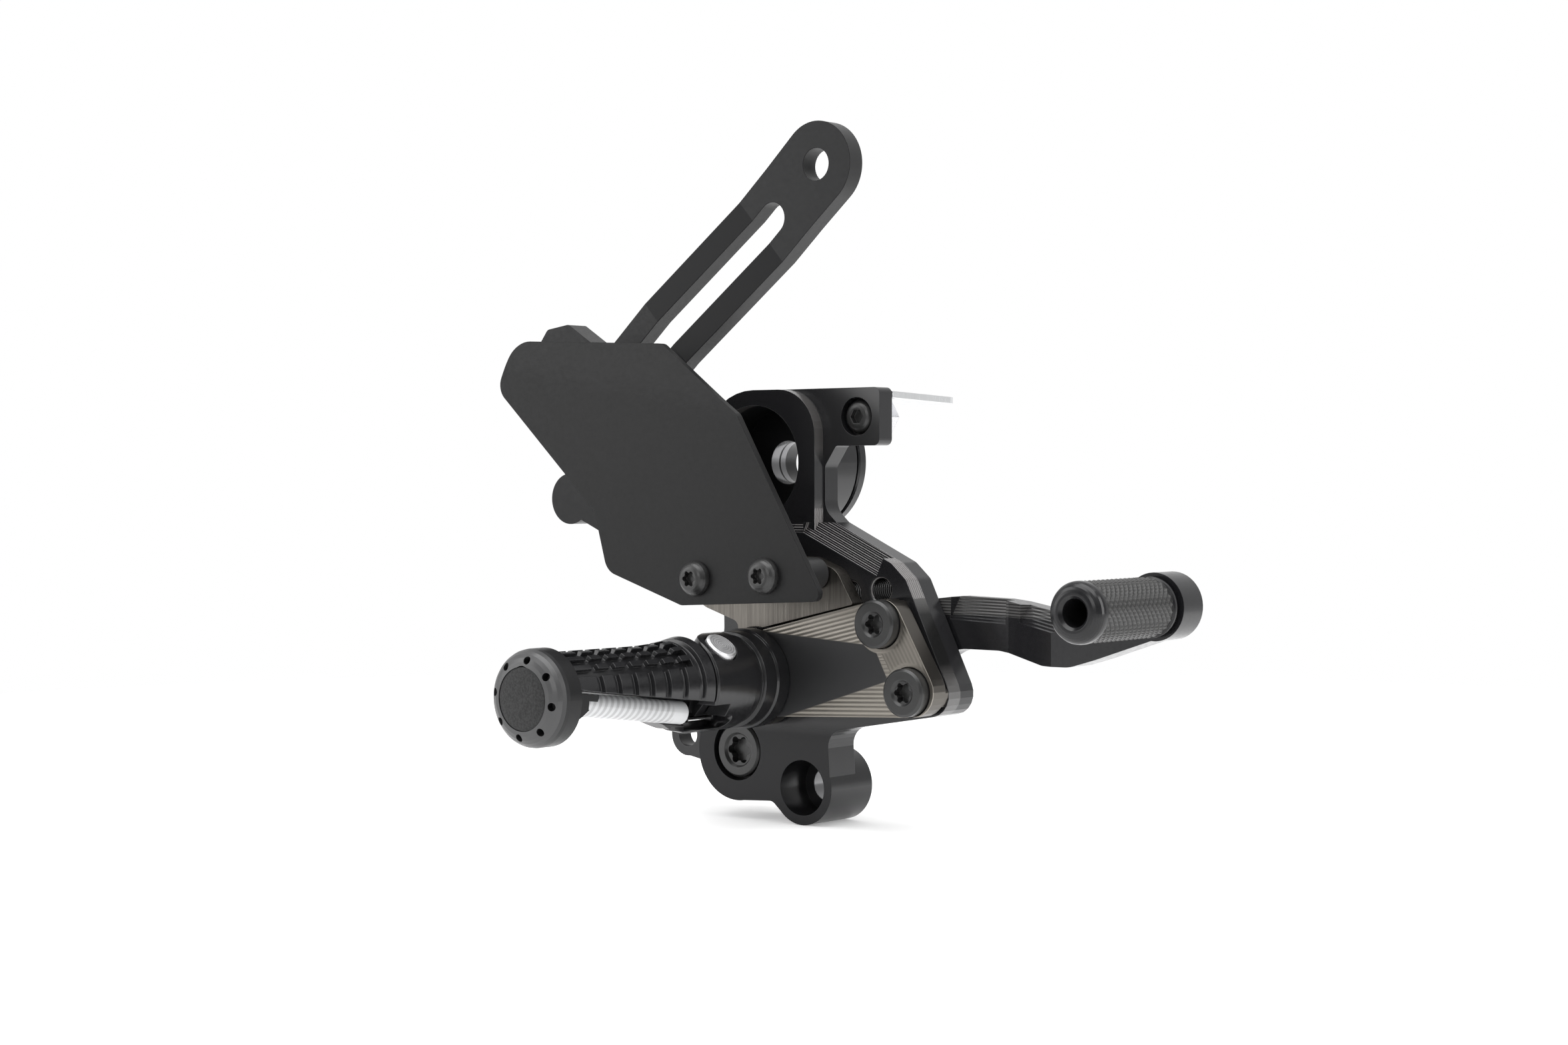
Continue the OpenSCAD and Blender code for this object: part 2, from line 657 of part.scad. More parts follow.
module hinge_pin() {
  color([0.8, 0.8, 0.8]) in_peg_frame() translate([0, -pin_out, 0]) difference() {
    union() {
      translate([0, 0, -spot_out - 2.6]) cylinder(r = pin_r, h = 2 * spot_out + 2.6);
      translate([0, 0, spot_out]) rotate_extrude()
        polygon([[0, 0], [pin_head_r, 0], [pin_head_r, pin_head_t - 0.5], [pin_head_r - 0.5, pin_head_t], [0, pin_head_t]]);
    }
    translate([0, 0, -spot_out - 1.3]) rotate_extrude()
      polygon([[pin_r - 0.7, 0], [pin_r + 1, 0], [pin_r + 1, 0.9], [pin_r - 0.7, 0.9]]);
  }
}

module pin_clip() {
  color([0.6, 0.6, 0.6]) in_peg_frame() translate([0, -pin_out, -spot_out - 1.25]) difference() {
    cylinder(r = pin_head_r + 0.2, h = 0.8);
    translate([0, 0, -1]) cylinder(r = pin_r - 0.65, h = 3);
    translate([-1.8, -10, -1]) cube([3.6, 10, 3]);
  }
}

// the peg narrows quickly from its flange to a long waist
function peg_radius(out) =
  let (s = (out - flange_out) / peg_len)
  peg_waist_r + (peg_r0 - peg_waist_r) * pow(max(0, 1 - s / 0.4), 2) + 0.3 * s;

// four points across ring groove i
function groove_points(i) =
  let (a = flange_out + groove_first - groove_w / 2 + i * groove_pitch, b = a + groove_w)
  [[peg_radius(a), a], [peg_radius(a) - groove_d, a + 0.4],
   [peg_radius(b) - groove_d, b - 0.4], [peg_radius(b), b]];

// line of the flat underside, from the flange to the knob
peg_under = [[0, -14.5], [6.6, -12.5], [11.4, -9.8], [12.6, -5.6], [peg_len + 1, 3]];

module peg_body() {
  color([0.05, 0.05, 0.055]) difference() {
    union() {
      turned([peg_x, peg_z])
        polygon(concat([[0, flange_out], [peg_r0 - 0.5, flange_out], [peg_r0, flange_out + 0.5]],
          [for (i = [0 : groove_count - 1]) each groove_points(i)],
          [[peg_radius(knob_out), knob_out], [0, knob_out]]));
      in_peg_frame() intersection() {
        translate([-tongue_r, -flange_out - 1, -tongue_w / 2])
          cube([2 * tongue_r, flange_out + 1 - pin_out, tongue_w]);
        turned([0, 0]) polygon([[0, 0], [peg_r0 - 0.4, 0], [peg_r0 - 0.4, flange_out + 2], [0, flange_out + 2]]);
      }
      in_peg_frame() translate([0, -pin_out, -tongue_w / 2]) cylinder(r = tongue_r, h = tongue_w);
    }
    in_peg_frame() translate([0, -pin_out, 0]) cylinder(r = pin_r + pin_play, h = 40, center = true);
    // lengthwise cuts that leave rows of teeth
    for (a = [34 : tooth_step : 146])
      translate([peg_x, -flange_out, peg_z]) rotate([0, -a, 0])
        translate([peg_waist_r - 1.2, -peg_len - 2, -1.1]) cube([4, peg_len - 5.4, 2.2]);
    // the underside slopes up towards the knob
    translate([peg_x, 0, peg_z]) rotate([90, 0, 90]) linear_extrude(60, center = true)
      polygon(concat([[-flange_out, -20]],
        [for (p = peg_under) [-flange_out - p[0], p[1]]], [[-flange_out - peg_len - 1, -20]]));
    sleeve_place() translate([0, 0, -5]) cylinder(r = channel_r, h = peg_len + 6);
    sleeve_place() translate([-0.7, -20, -6]) cube([20, 20.2 + channel_r, peg_len + 8]);
    bar([peg_x, peg_z + screw_lift], slider_screw_r + screw_play, knob_out - 15, knob_out + 1);
  }
}

// puts +Z along the spring, from its clevis end
module sleeve_place() {
  translate([peg_x + 2, -sleeve_start[0], peg_z + sleeve_start[1]]) rotate([90 - sleeve_rise, 0, 0]) children();
}

module slider_knob() {
  edge = 4.8;
  shoe = [[peg_len - 15, -1], [peg_len - 14.4, -2.2], [peg_len - 8.2, -5.8], [peg_len + 0.3, -9.8],
    [peg_len + 0.3, 1.9], [peg_len - 15, -0.2]];
  color([0.1, 0.1, 0.1]) difference() {
    union() {
      turned([peg_x, peg_z])
        polygon(concat([[0, knob_out], [knob_r - 0.5, knob_out], [knob_r, knob_out + 0.5],
          [knob_r, knob_face - edge - 0.6]],
          [for (a = [0 : 15 : 90]) [knob_r - edge + edge * cos(a), knob_face - edge + edge * sin(a)]],
          [[0, knob_face]]));
      // shoe under the peg, up to the spring
      intersection() {
        translate([peg_x + 1, 0, peg_z]) rotate([90, 0, 90]) linear_extrude(9, center = true)
          polygon([for (p = shoe) [-flange_out - p[0], p[1]]]);
        turned([peg_x, peg_z]) polygon([[0, flange_out], [peg_waist_r - 0.6, flange_out], [peg_waist_r - 0.6, knob_out + 1], [0, knob_out + 1]]);
      }
    }
    sleeve_place() translate([0, 0, -1]) cylinder(r = channel_r, h = sleeve_len + 1.05);
    bar([peg_x, peg_z], insert_r + 0.05, knob_face - 2, knob_face + 1);
    for (i = [0 : 7])
      translate([peg_x, -knob_face + 0.8, peg_z]) rotate([0, -45 * i + 8, 0]) translate([10.7, 0, 0])
        rotate([90, 0, 20]) cylinder(r = 1.15, h = 6, center = true, $fn = 24);
    bar([peg_x, peg_z + screw_lift], slider_screw_r + 0.1, knob_out - 1, knob_face);
    bar([peg_x, peg_z + screw_lift], 3.55, knob_out + 2.2, knob_face);
  }
}

module slider_screw() {
  at = [peg_x, peg_z + screw_lift];
  color([0.6, 0.6, 0.62]) difference() {
    union() {
      bar(at, 3.45, knob_out + 2.2, knob_out + 5.6);
      bar(at, slider_screw_r, knob_out - 14, knob_out + 2.2);
    }
    translate([at[0], -knob_out - 3.4, at[1]]) rotate([90, 0, 0]) cylinder(r = 1.7, h = 4, $fn = 6);
  }
}

module knob_insert() {
  color([0.2, 0.2, 0.2]) turned([peg_x, peg_z])
    polygon(concat([[0, knob_face - 1.9], [insert_r, knob_face - 1.9], [insert_r, knob_face - 0.2]],
      [for (i = [0 : 5]) [insert_r * cos(90 * i / 5), knob_face - 0.2 + 0.6 * sin(90 * i / 5)]]));
}

// ring i of the spring's wire
function coil_ring(i, steps, r, rise, n) =
  let (a = 360 * i / steps, c = [r * cos(a), r * sin(a), rise * i / steps], out = [cos(a), sin(a), 0])
  [for (k = [0 : n - 1]) c + wire_r * (cos(360 * k / n) * out + sin(360 * k / n) * [0, 0, 1])];

module return_spring() {
  steps = 12;
  sides = 6;
  coil_r = sleeve_r - sleeve_wall - wire_r - 0.15;
  rise = (sleeve_len - 4) / spring_turns;
  last = steps * spring_turns;
  points = [for (i = [0 : last]) each coil_ring(i, steps, coil_r, rise, sides)];
  faces = concat(
    [[for (k = [0 : sides - 1]) k]],
    [for (i = [0 : last - 1], k = [0 : sides - 1])
      [i * sides + k, (i + 1) * sides + k, (i + 1) * sides + (k + 1) % sides, i * sides + (k + 1) % sides]],
    [[for (k = [0 : sides - 1]) last * sides + sides - 1 - k]]);
  color([0.8, 0.8, 0.8]) sleeve_place() translate([0, 0, 2]) polyhedron(points = points, faces = faces);
}

module spring_sleeve() {
  color([0.85, 0.87, 0.88, 0.5]) sleeve_place() difference() {
    cylinder(r = sleeve_r, h = sleeve_len);
    translate([0, 0, -1]) cylinder(r = sleeve_r - sleeve_wall, h = sleeve_len + 2);
  }
}

module pivot_screw() {
  head_t = 5.3;
  color([0.1, 0.1, 0.1]) {
    translate([pivot_at[0], -pivot_recess_out, pivot_at[1]]) rotate([90, 0, 0]) difference() {
      rotate_extrude()
        polygon([[0, 0], [pivot_head_r, 0], [pivot_head_r, head_t - 0.7], [pivot_head_r - 0.7, head_t],
          [5.4, head_t], [4.7, head_t - 0.8], [0, head_t - 0.8]]);
      translate([0, 0, head_t - 3.6]) star_socket(4.5, 5);
    }
    bar(pivot_at, pivot_r, nut_out + washer_t, pivot_recess_out);
    bar(pivot_at, pivot_r - 1, nut_out - 6, nut_out + washer_t);
  }
}

module thrust_washers() {
  color([0.72, 0.6, 0.35]) {
    difference() {
      bar(pivot_at, 11, -washer_t, 0);
      bar(pivot_at, pivot_r + 0.1, -washer_t - 1, 1);
    }
    difference() {
      bar(pivot_at, 11, nut_out, nut_out + washer_t);
      bar(pivot_at, pivot_r - 0.9, nut_out - 1, nut_out + washer_t + 1);
    }
  }
}

module pivot_nut() {
  color([0.7, 0.7, 0.72]) hex_nut(pivot_at, 17, pivot_r - 1 + screw_play, nut_out - 5, nut_out);
}

lever_top = [[-24, 12, 0], [-28, 22.4, 0], [6, 37, 20], [38, 57.4, 10], [46, 58.4, 6], [62, 58, 8],
  [84, 55.6, 14], [92, 58.6, 14], [112, 66, 20], [118, 66.3, 0]];
lever_low = [[123.6, 50.4, 0], [101, 42.8, 20], [92.5, 40.3, 12], [82, 40.2, 12], [62, 43.2, 12],
  [47, 43.2, 14], [4, 18.6, 20], [-6, 14.5, 6], [-14, 1, 0], [-22, 4, 0]];
lever_tail = [[-56.6, 17.9], [-28, 21], [-33, 0.5], [-57.4, 5]];

module lever_blank(from, to) {
  slab(from, to) polygon(rounded(concat(lever_top, lever_low)));
  slab(from, to) polygon(lever_tail);
  bar(pivot_at, hub_r, from, to);
  bar(eye_at, 6.8, from, to);
  bar(toe_at, toe_boss_r, from, to);
}

module brake_lever() {
  color([0.05, 0.05, 0.055]) difference() {
    intersection() {
      lever_blank(hub_back - 1, toe_face + 1);
      // plan view, drawn as (forward, inboard)
      translate([0, 0, -20]) linear_extrude(120)
        polygon([[-70, -lever_face], [65.3, -lever_face], [86.5, -toe_face], [140, -toe_face],
          [140, -toe_back], [89, -toe_back], [68, -lever_back], [-8, -lever_back], [-10, -hub_back],
          [-40, -hub_back], [-42, -lever_face + 5.8], [-70, -lever_face + 5.8]]);
    }
    // ridged bevel along the arm's upper edge
    ridged_cut(2, 53.2, lever_face, 60, lever_face - 4.6, 43, 62.5, 8, 0.26, 0);
    // the same bevel along the jog
    translate([65.3, -lever_face, 0]) rotate([0, 0, -lever_jog]) ridged_cut(6, 52, 0, 58.8, -4.6, 0.6, 20.5, 8, 0.26, 0);
    bar(pivot_at, pivot_r + bush_wall + 0.02, hub_back - 1, lever_face + 1);
    bar(eye_at, eye_hole_r, -20, 5);
    bar(toe_at, toe_screw_r + screw_play, toe_back - 1, toe_face + 1);
  }
}

module pivot_bush() {
  color([0.72, 0.6, 0.35]) difference() {
    bar(pivot_at, pivot_r + bush_wall, hub_back, lever_face);
    bar(pivot_at, pivot_r + pivot_play, hub_back - 1, lever_face + 1);
  }
}

toe_screw_r = 2.5;
toe_out = toe_face + ring_t;
toe_end = toe_out + toe_len;
toe_hole_r = 3.8;
toe_seat = toe_out + 8;

// the knurled band is drawn here at the bottom of its teeth
module toe_peg() {
  edge = 3;
  core = toe_r - knurl_d;
  color([0.05, 0.05, 0.055]) difference() {
    turned(toe_at)
      polygon(concat([[0, toe_out], [toe_r - 0.6, toe_out], [toe_r, toe_out + 0.6], [toe_r, toe_out + 1.4],
        [core, toe_out + 1.8], [core, toe_end - 4.4], [toe_r, toe_end - 4]],
        [for (a = [0 : 15 : 90]) [toe_r - edge + edge * cos(a), toe_end - edge + edge * sin(a)]],
        [[0, toe_end]]));
    bar(toe_at, toe_hole_r, toe_seat, toe_end + 1);
    turned(toe_at) polygon([[0, toe_end - 0.9], [toe_hole_r, toe_end - 0.9], [toe_hole_r + 1, toe_end + 0.1], [0, toe_end + 0.1]]);
    bar(toe_at, toe_screw_r + 0.1, toe_out - 1, toe_seat + 1);
  }
}

module toe_ring() {
  color([0.03, 0.03, 0.03]) difference() {
    bar(toe_at, toe_r - 1.3, toe_face, toe_out);
    bar(toe_at, toe_screw_r + 0.3, toe_face - 1, toe_out + 1);
  }
}

module toe_screw() {
  color([0.3, 0.3, 0.3]) difference() {
    union() {
      bar(toe_at, toe_hole_r - 0.15, toe_seat, toe_seat + 5);
      bar(toe_at, toe_screw_r, toe_back + 0.5, toe_seat);
    }
    translate([toe_at[0], -toe_seat - 2, toe_at[1]]) rotate([90, 0, 0]) cylinder(r = 2.3, h = 4, $fn = 6);
  }
}

base_plate();
upper_spacer();
angle_strip();
tab_screw();
tab_nut();
rear_bracket();
rear_bracket_screws();
hanger_arm();
hanger_bolt();
hanger_washer();
hanger_nut();
guard_bracket();
guard_spacers();
heel_guard();
guard_screws();
peg_carrier();
carrier_screws();
clevis_bolt();
peg_clevis();
hinge_pin();
pin_clip();
spring_hook();
peg_body();
slider_knob();
slider_screw();
knob_insert();
return_spring();
spring_sleeve();
pivot_screw();
thrust_washers();
pivot_nut();
brake_lever();
pivot_bush();
toe_peg();
toe_ring();
toe_screw();
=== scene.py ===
import json
import math
import bpy
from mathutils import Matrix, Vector


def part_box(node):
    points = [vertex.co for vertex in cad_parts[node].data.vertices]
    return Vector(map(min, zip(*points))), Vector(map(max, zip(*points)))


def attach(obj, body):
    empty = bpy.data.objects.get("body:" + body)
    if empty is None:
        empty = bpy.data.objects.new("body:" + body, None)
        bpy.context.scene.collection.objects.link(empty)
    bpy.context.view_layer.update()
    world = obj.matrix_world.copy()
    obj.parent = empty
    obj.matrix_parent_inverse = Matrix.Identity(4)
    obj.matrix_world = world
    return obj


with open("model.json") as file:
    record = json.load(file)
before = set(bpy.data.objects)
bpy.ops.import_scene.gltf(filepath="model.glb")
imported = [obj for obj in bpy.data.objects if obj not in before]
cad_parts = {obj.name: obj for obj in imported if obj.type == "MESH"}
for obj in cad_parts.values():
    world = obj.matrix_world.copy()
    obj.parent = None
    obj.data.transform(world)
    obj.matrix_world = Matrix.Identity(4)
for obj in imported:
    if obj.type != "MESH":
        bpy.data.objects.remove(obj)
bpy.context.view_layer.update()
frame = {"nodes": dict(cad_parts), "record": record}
MM = 0.001

# colours that several surfaces share
BLACK = (0.010, 0.010, 0.011)
ARM_BLACK = (0.005, 0.005, 0.0055)
LEVER_BLACK = (0.008, 0.008, 0.009)
BRONZE = (0.25, 0.232, 0.205)

# places seen from outboard, as (forward, up) in millimetres
LOWER_BOLT_AT = (0, 0)
CUP_AT = (-20.3, 97.7)
SPARE_HOLES_AT = ((18.5, 59), (29.6, 60.3))
SPARE_HOLE_R = 3.6
CARRIER_SCREWS_AT = ((45.3, 31.6), (34.8, 50.9))
CARRIER_TOP = ((39, 59.2), (-9, 47.6))
CARRIER_RIGHT = ((59, 25), (39, 59.2))
CARRIER_BOTTOM = ((-12, 21.4), (59, 25))
TOE_PEG_AT = (119.9, 58.2)

# middle of the hinge pin in the row frame and its lean from upright
PIN_AT = (-13.5, -44.5, 33)
PIN_LEAN = math.radians(39)

CAMERA_AT = (0.4981, -0.6362, 0.0964)
CAMERA_AZIMUTH = math.radians(39)
CAMERA_ELEVATION = math.radians(1.2)
CAMERA_LENS = 61.2
SENSOR_WIDTH = 36

FLOOR_UNDER = 11.3
FLOOR_RADIUS = 4
FLOOR_GLOW = 0.28
FLOOR_TONE = 0.9
FLOOR_FADE = (0.35, 0.6)


# ---------------------------------------------------------------- node helpers
class Nodes:
    """Adds and links the nodes of a material or a world."""

    def __init__(self, owner):
        owner.use_nodes = True
        self.tree = owner.node_tree
        self.tree.nodes.clear()

    def add(self, kind, operation=None):
        node = self.tree.nodes.new(kind)
        if operation:
            node.operation = operation
        return node

    def put(self, socket, value):
        """Links a socket, or sets a number, colour or vector."""
        if isinstance(value, bpy.types.NodeSocket):
            self.tree.links.new(value, socket)
        else:
            socket.default_value = value

    def math(self, operation, *values):
        node = self.add("ShaderNodeMath", operation)
        for socket, value in zip(node.inputs, values):
            self.put(socket, value)
        return node.outputs[0]

    def vector(self, operation, *values):
        node = self.add("ShaderNodeVectorMath", operation)
        for socket, value in zip(node.inputs, values):
            self.put(socket, value)
        return node.outputs["Value" if operation in ("LENGTH", "DOT_PRODUCT") else "Vector"]

    def split(self, vector):
        node = self.add("ShaderNodeSeparateXYZ")
        self.put(node.inputs[0], vector)
        return node.outputs

    def ramp(self, value, from_min, from_max, to_min=0.0, to_max=1.0):
        node = self.add("ShaderNodeMapRange")
        self.put(node.inputs["Value"], value)
        node.inputs["From Min"].default_value = from_min
        node.inputs["From Max"].default_value = from_max
        node.inputs["To Min"].default_value = to_min
        node.inputs["To Max"].default_value = to_max
        return node.outputs[0]


def opaque(colour):
    return (*colour, 1) if isinstance(colour, tuple) else colour


def darker(colour, factor):
    return tuple(part * factor for part in colour)


class Surface(Nodes):
    """One principled material, with masks placed in millimetres of the row frame."""

    def __init__(self, name):
        self.name = name
        self.material = bpy.data.materials.new(name)
        super().__init__(self.material)
        output = self.add("ShaderNodeOutputMaterial")
        self.bsdf = self.add("ShaderNodeBsdfPrincipled")
        self.put(output.inputs[0], self.bsdf.outputs[0])
        coord = self.add("ShaderNodeTexCoord")
        self.here = coord.outputs["Object"]
        self.normal = coord.outputs["Normal"]
        self.x, self.y, self.z = [self.math("MULTIPLY", part, 1000.0) for part in self.split(self.here)]

    # inputs of the material
    def colour(self, value):
        self.put(self.bsdf.inputs["Base Color"], opaque(value))

    def rough(self, value):
        self.put(self.bsdf.inputs["Roughness"], value)

    def shine(self, value):
        self.put(self.bsdf.inputs["Specular IOR Level"], value)

    def metallic(self, value):
        self.put(self.bsdf.inputs["Metallic"], value)

    def bevel(self, radius):
        node = self.add("ShaderNodeBevel")
        node.samples = 8
        node.inputs["Radius"].default_value = radius * MM
        self.put(self.bsdf.inputs["Normal"], node.outputs[0])

    def bump(self, height, distance):
        """Adds relief on top of the bevel or bump that is there already."""
        node = self.add("ShaderNodeBump")
        node.inputs["Strength"].default_value = 1.0
        node.inputs["Distance"].default_value = distance
        self.put(node.inputs["Height"], height)
        normal = self.bsdf.inputs["Normal"]
        if normal.is_linked:
            self.put(node.inputs["Normal"], normal.links[0].from_socket)
        self.put(normal, node.outputs[0])

    # mixing
    def mix(self, factor, a, b):
        """Colour a where the factor is 0, colour b where it is 1."""
        node = self.add("ShaderNodeMix")
        node.data_type = "RGBA"
        self.put(node.inputs[0], factor)
        self.put(node.inputs[6], opaque(a))
        self.put(node.inputs[7], opaque(b))
        return node.outputs[2]

    def blend(self, factor, a, b):
        """Number a where the factor is 0, number b where it is 1."""
        node = self.add("ShaderNodeMix")
        node.data_type = "FLOAT"
        self.put(node.inputs[0], factor)
        self.put(node.inputs[2], a)
        self.put(node.inputs[3], b)
        return node.outputs[0]

    def all_of(self, first, *masks):
        for mask in masks:
            first = self.math("MULTIPLY", first, mask)
        return first

    def any_of(self, first, *masks):
        for mask in masks:
            first = self.math("MAXIMUM", first, mask)
        return first

    def flip(self, mask):
        return self.math("SUBTRACT", 1.0, mask)

    # patterns
    def noise(self, scale, detail=3, rough=0.5, stretch=(1, 1, 1)):
        mapping = self.add("ShaderNodeMapping")
        self.put(mapping.inputs["Vector"], self.here)
        mapping.inputs["Scale"].default_value = stretch
        node = self.add("ShaderNodeTexNoise")
        self.put(node.inputs["Vector"], mapping.outputs[0])
        node.inputs["Scale"].default_value = scale
        node.inputs["Detail"].default_value = detail
        node.inputs["Roughness"].default_value = rough
        return node.outputs[0]

    def wave(self, value, pitch):
        """Smooth stripes from 0 to 1 along a distance in millimetres."""
        sine = self.math("SINE", self.math("MULTIPLY", value, 2 * math.pi / pitch))
        return self.math("MULTIPLY_ADD", sine, 0.5, 0.5)

    # masks: 1 inside, 0 outside, soft over a few hundredths
    def band(self, value, low, high, soft):
        return self.all_of(
            self.ramp(value, low - soft, low + soft),
            self.ramp(value, high - soft, high + soft, 1.0, 0.0))

    def outboard(self, low, high, soft=0.06):
        return self.band(self.math("MULTIPLY", self.y, -1.0), low, high, soft)

    def box(self, low, high, soft=0.1):
        """A rectangle seen from outboard."""
        return self.all_of(
            self.band(self.x, low[0], high[0], soft),
            self.band(self.z, low[1], high[1], soft))

    def radius(self, at):
        dx = self.math("SUBTRACT", self.x, at[0])
        dz = self.math("SUBTRACT", self.z, at[1])
        return self.math("SQRT", self.math("MULTIPLY_ADD", dx, dx, self.math("MULTIPLY", dz, dz)))

    def inside(self, at, r, soft=0.1):
        return self.ramp(self.radius(at), r - soft, r + soft, 1.0, 0.0)

    def across(self, a, b):
        """Distance left of the line from a to b, seen from outboard."""
        dx, dz = b[0] - a[0], b[1] - a[1]
        length = math.hypot(dx, dz)
        sum_x = self.math("MULTIPLY", self.x, -dz / length)
        both = self.math("MULTIPLY_ADD", self.z, dx / length, sum_x)
        return self.math("SUBTRACT", both, (-dz * a[0] + dx * a[1]) / length)

    def beyond(self, a, b, soft=0.15):
        """1 left of the line from a to b, seen from outboard."""
        return self.ramp(self.across(a, b), -soft, soft)

    def facing(self, low=0.93, high=0.985):
        """1 on faces that look straight outboard."""
        normal_y = self.split(self.normal)[1]
        return self.ramp(self.math("MULTIPLY", normal_y, -1.0), low, high)


# ---------------------------------------------------------------- finishes
def anodised(name, base, rough, edge, grain=0.0, shine=0.5):
    s = Surface(name)
    fine = s.noise(900)
    s.colour(s.mix(s.noise(25), darker(base, 0.75), base))
    s.rough(s.ramp(fine, 0.3, 0.7, rough - 0.04, rough + 0.05))
    s.shine(shine)
    s.bevel(edge)
    if grain:
        s.bump(fine, grain)
    return s


def metal(name, base, rough, stretch=(1, 1, 1), scale=600, depth=0.000004, edge=0.25, spread=0.08):
    s = Surface(name)
    grain = s.noise(scale, rough=0.6, stretch=stretch)
    s.colour(s.mix(grain, darker(base, 0.85), base))
    s.metallic(1.0)
    s.rough(s.ramp(grain, 0.25, 0.75, rough - spread, rough + spread))
    s.bevel(edge)
    s.bump(grain, depth)
    return s


def plate_black():
    """Black plate machined on a mill: bare bores, sides painted lighter than the face as painted sheen, with
    painted highlights on the cutter passes and painted shade in the shade box, a dull cup whose low shine is
    painted shade, and threaded spare holes painted darker as painted shade.
    """
    s = anodised("plate_black", BLACK, 0.24, edge=0.12)
    bores = s.any_of(
        s.all_of(s.inside(LOWER_BOLT_AT, 5.2), s.outboard(-7, 0.4)),
        s.all_of(s.inside(CUP_AT, 6.85), s.outboard(-13, -6.0)))
    spare = s.any_of(*[s.inside(at, SPARE_HOLE_R) for at in SPARE_HOLES_AT])
    cup = s.all_of(s.inside(CUP_AT, 17.6), s.outboard(-6.1, 10.5))
    face = s.facing()
    foot = s.all_of(face, s.ramp(s.z, 16, 20, 1.0, 0.0))
    tab = s.all_of(s.ramp(s.x, -6, 22), s.ramp(s.z, 90, 94), face)
    neck = s.box((-6, 85), (14, 100), 2)
    shade = s.box((38, 37), (80, 56), 2.5)
    sides = s.all_of(
        s.outboard(6.5, 12.2, 0.1), s.ramp(s.z, 20, 24), s.flip(spare), s.flip(face), s.flip(neck))
    # The cutter passes are real relief through the bump; in the colour they carry painted highlights.
    cutter_passes_and_highlights = s.all_of(s.wave(s.y, 0.95), s.box((-4, 58), (45, 84)))

    liner = s.mix(s.outboard(-10.6, -9.8), (0.19, 0.19, 0.195), (0.02, 0.02, 0.02))
    # Painted shade: the spare holes are painted darker (0.003) than the face, standing in for shade in the
    # recess.
    plain = s.mix(tab, s.mix(spare, BLACK, (0.003, 0.003, 0.003)), (0.022, 0.022, 0.0225))
    # Painted sheen: the sides are painted lighter than the face (0.050), with painted highlights (0.170) on the
    # cutter passes.
    ramp = s.mix(cutter_passes_and_highlights, (0.050, 0.048, 0.047), (0.170, 0.160, 0.157))
    # Painted shade: the sides inside the shade box are painted near black (0.008).
    side_sheen_and_shade = s.mix(shade, ramp, (0.008, 0.008, 0.008))
    s.colour(s.mix(sides, s.mix(bores, plain, liner), side_sheen_and_shade))
    s.metallic(bores)
    sheen = s.blend(sides, s.blend(foot, 0.45, 0.2), s.blend(shade, 0.9, 0.2))
    # Painted shade: the shine drops to 0.12 in the cup and the spare holes, standing in for shade in these
    # recesses.
    s.shine(s.blend(s.any_of(cup, spare), sheen, 0.12))
    s.rough(s.blend(cup, 0.24, 0.6))
    s.bump(s.all_of(s.wave(s.y, 1.0), spare), 0.00035)
    s.bump(s.all_of(cutter_passes_and_highlights, sides), 0.00012)
    return s


def arm_black():
    s = anodised("arm_black", ARM_BLACK, 0.36, edge=0.3, shine=0.2)
    # Painted sheen: faces that do not look outboard are painted lighter (0.024) than the outboard face.
    s.colour(s.mix(s.facing(0.5, 0.9), (0.024, 0.024, 0.0245), ARM_BLACK))
    return s


def bracket_bronze():
    """Bronze sheet brushed upright."""
    s = metal("bracket_bronze", (0.15, 0.138, 0.121), 0.36, (60, 60, 1.2), 40, 0.00002, 0.2, 0.12)
    lines = s.ramp(s.noise(30, 4, 0.7, (60, 60, 1.5)), 0.36, 0.64)
    s.colour(s.mix(lines, (0.104, 0.096, 0.087), (0.148, 0.138, 0.124)))
    return s


def carrier_bronze():
    """Bronze with cutter lines along its edges round a dark field; the colour stripes along the cutter lines
    are painted highlight and shade, and the side faces are painted darker as painted shade.
    """
    s = metal("carrier_bronze", BRONZE, 0.32, edge=0.3)
    front = s.outboard(19.9, 21)
    screws = CARRIER_SCREWS_AT
    field = s.all_of(
        front,
        s.flip(s.beyond((-1.2, 46.6), (30.5, 44.6))),
        s.beyond((-3.8, 21.0), (38, 34.6)),
        s.beyond((37.4, 35.2), (33.1, 43.3)),
        *[s.flip(s.inside(at, 8.6)) for at in screws])
    rings = s.any_of(*[s.inside(at, 8.4, 0.3) for at in screws])

    pitch = 1.25
    from_right = s.across(*CARRIER_RIGHT)
    by_right = s.ramp(from_right, 11.5, 11.7, 1.0, 0.0)
    upper = s.beyond((-3, 34), (34, 40.5))
    long_edges = s.blend(upper, s.wave(s.across(*CARRIER_BOTTOM), pitch), s.wave(s.across(*CARRIER_TOP), pitch))
    lines = s.blend(by_right, long_edges, s.wave(from_right, pitch))
    grooves_and_painted_stripes = s.all_of(lines, front, s.flip(field), s.flip(rings))

    # The colour alternates along the cutter lines as painted highlight and shade; their relief is the bump
    # below.
    bronze = s.mix(s.ramp(grooves_and_painted_stripes, 0.1, 0.9), (0.255, 0.237, 0.210), (0.195, 0.181, 0.160))
    # Painted shade: the side faces are painted a darker bronze (0.11) than the front.
    side = s.outboard(0, 19.75, 0.08)
    s.colour(s.mix(side, s.mix(field, bronze, (0.012, 0.012, 0.013)), (0.11, 0.102, 0.092)))
    s.rough(s.blend(field, 0.34, 0.42))
    s.metallic(s.flip(s.math("MULTIPLY", field, 0.9)))
    s.bump(grooves_and_painted_stripes, 0.00004)
    return s


